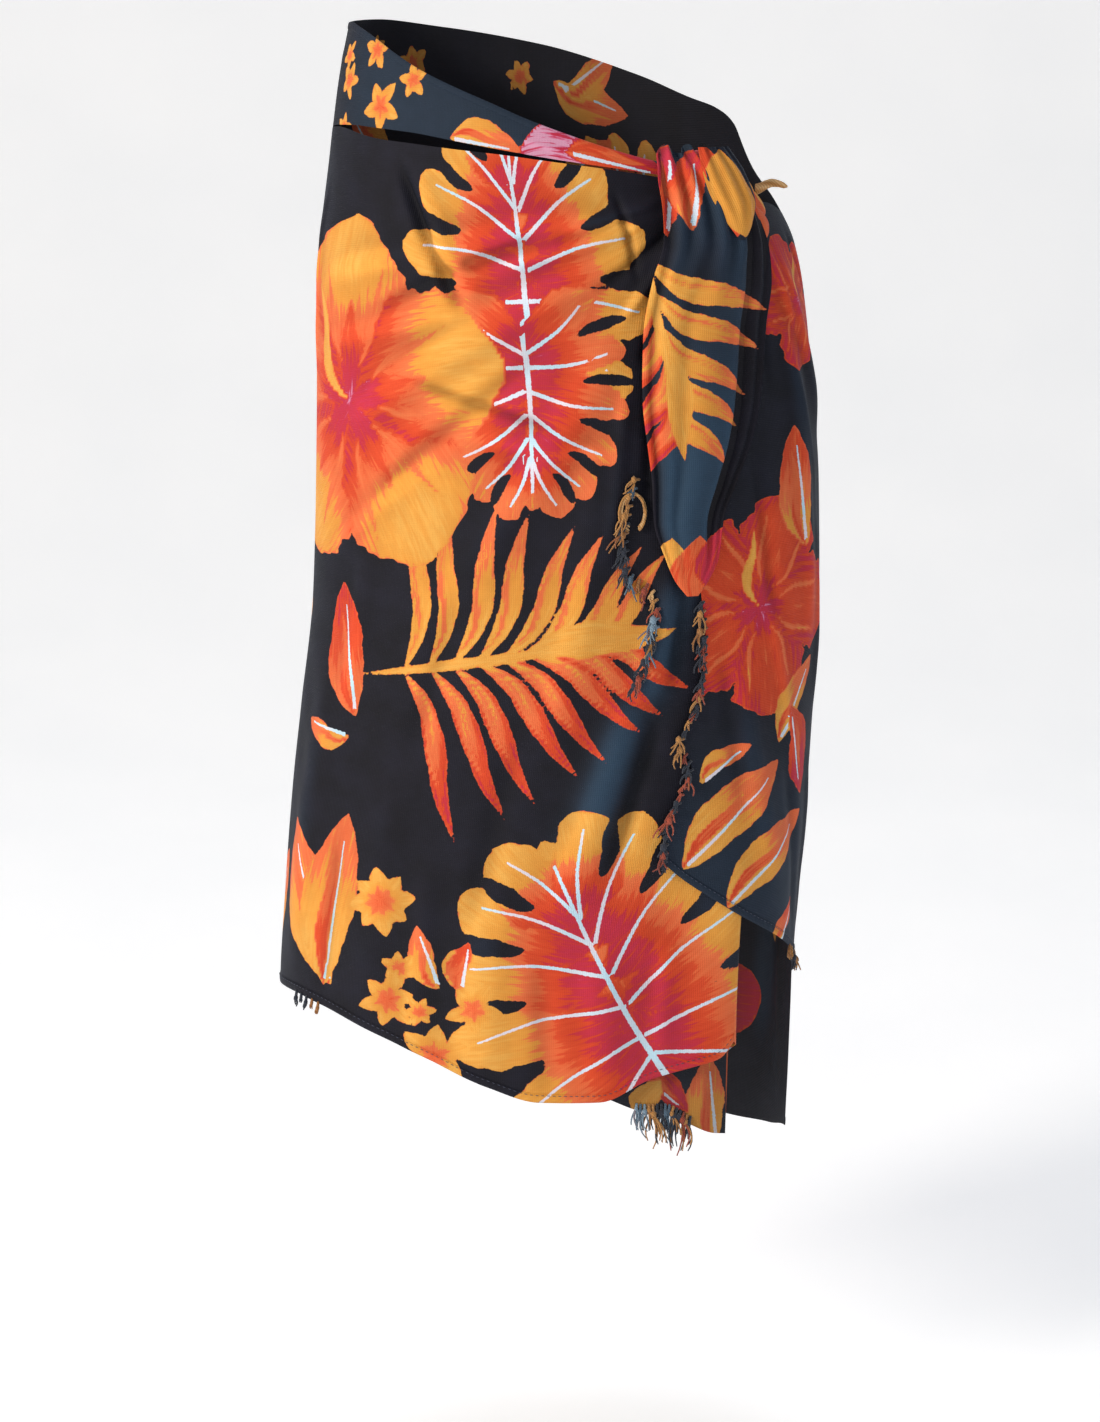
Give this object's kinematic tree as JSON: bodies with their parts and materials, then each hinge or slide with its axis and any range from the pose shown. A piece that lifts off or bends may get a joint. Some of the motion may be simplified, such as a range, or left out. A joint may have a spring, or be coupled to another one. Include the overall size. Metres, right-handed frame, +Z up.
{
  "type": "sarong",
  "caption": "Sarong in its worn, hollow form: a fringed printed cloth wound round the hips, knotted at one side with a long hanging tail, slanting hem and side wing.",
  "frame": {"origin": "middle of the waist, where the wearer's hips hold the cloth up", "axes": "+Z up, -Y the front that the picture shows, +X the side with the knot (the wearer's left)"},
  "size_m": [0.4103, 0.2625, 0.86],
  "materials": {
    "printed_rayon": "matte plain-weave rayon, printed in navy, orange, yellow and crimson",
    "fringe_thread": "loose knotted yarn ends, tan and navy"
  },
  "bodies": {
    "root": {"front_panel": "printed_rayon", "back_panel": "printed_rayon", "waist_band": "printed_rayon", "side_wing": "printed_rayon", "turned_end": "printed_rayon", "knot": "printed_rayon", "tail_long": "printed_rayon", "tail_short": "printed_rayon", "knot_end": "printed_rayon", "fringe_wing": "fringe_thread", "fringe_wing_hem": "fringe_thread", "fringe_front_end": "fringe_thread", "fringe_turned": "fringe_thread", "fringe_hem_tuft": "fringe_thread"}
  },
  "joints": []
}
